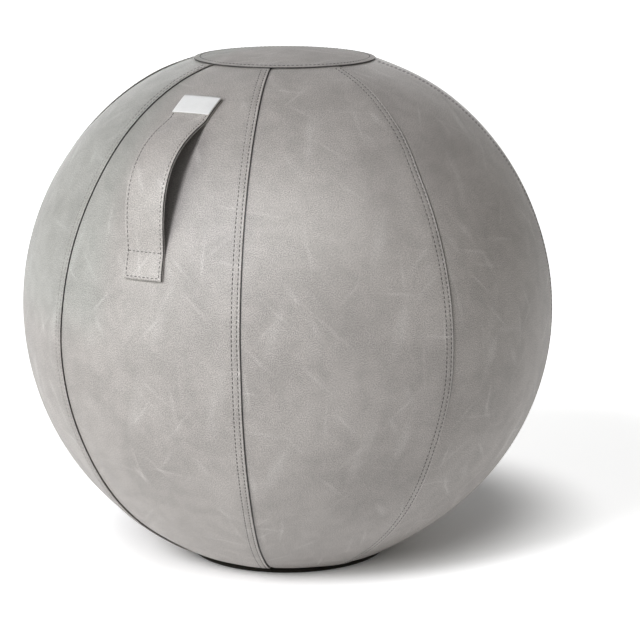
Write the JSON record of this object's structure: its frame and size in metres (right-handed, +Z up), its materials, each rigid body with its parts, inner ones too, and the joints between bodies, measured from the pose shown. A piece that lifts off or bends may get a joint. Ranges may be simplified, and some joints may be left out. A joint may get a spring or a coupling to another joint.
{
  "type": "sitting ball",
  "caption": "Round sitting ball in a sewn cover of lapped leatherette panels, with a top patch, a strap handle, a zip at the back and a ring base that keeps it from rolling.",
  "frame": {"origin": "on the floor, under the ball's centre", "axes": "+Z up through the ball's centre and the top patch; the strap handle faces -Y"},
  "size_m": [0.6464, 0.6464, 0.6231],
  "materials": {
    "grey_leatherette": "worn grey leatherette, cloudy, with fine grain and pale scuffs",
    "strap_leatherette": "worn grey leatherette strap, stitched along both edges",
    "dark_fabric": "matte dark woven fabric",
    "foam_grey": "open-cell foam",
    "ball_plastic": "soft matte vinyl",
    "valve_white": "white moulded plastic",
    "label_white": "plain white woven label, blank",
    "zip_tape_grey": "woven zip tape",
    "zip_coil_plastic": "dark nylon coil",
    "zip_metal": "dull grey zinc"
  },
  "bodies": {
    "ball": {"cover_panel_1": "grey_leatherette", "cover_panel_2": "grey_leatherette", "cover_panel_3": "grey_leatherette", "cover_panel_4": "grey_leatherette", "cover_panel_5": "grey_leatherette", "cover_panel_6": "grey_leatherette", "cover_panel_7": "grey_leatherette", "cover_panel_8": "grey_leatherette", "top_patch": "grey_leatherette", "base_panel": "dark_fabric", "base_ring_cover": "dark_fabric", "base_ring_filling": "foam_grey", "inner_ball": "ball_plastic", "valve_collar": "ball_plastic", "valve_plug": "valve_white", "handle_strap": "strap_leatherette", "handle_backing": "strap_leatherette", "label": "label_white", "zip_tape_left": "zip_tape_grey", "zip_tape_right": "zip_tape_grey", "zip_coil_left": "zip_coil_plastic", "zip_coil_right": "zip_coil_plastic", "zip_upper_stop": "zip_metal", "zip_lower_stop": "zip_metal"},
    "zip_slider": {"zip_slider": "zip_metal"},
    "zip_pull": {"zip_pull": "zip_metal"}
  },
  "joints": [
    {"name": "zip_slide", "type": "hinge", "parent": "ball", "child": "zip_slider", "pos_m": [0, 0, 0.31102], "axis": [-0.9239, -0.3827, 0], "range_deg": [-54.8, 0]},
    {"name": "pull_swing", "type": "hinge", "parent": "zip_slider", "child": "zip_pull", "pos_m": [-0.06865, 0.16573, 0.03815], "axis": [-0.9239, -0.3827, 0], "range_deg": [-120, 56]}
  ]
}
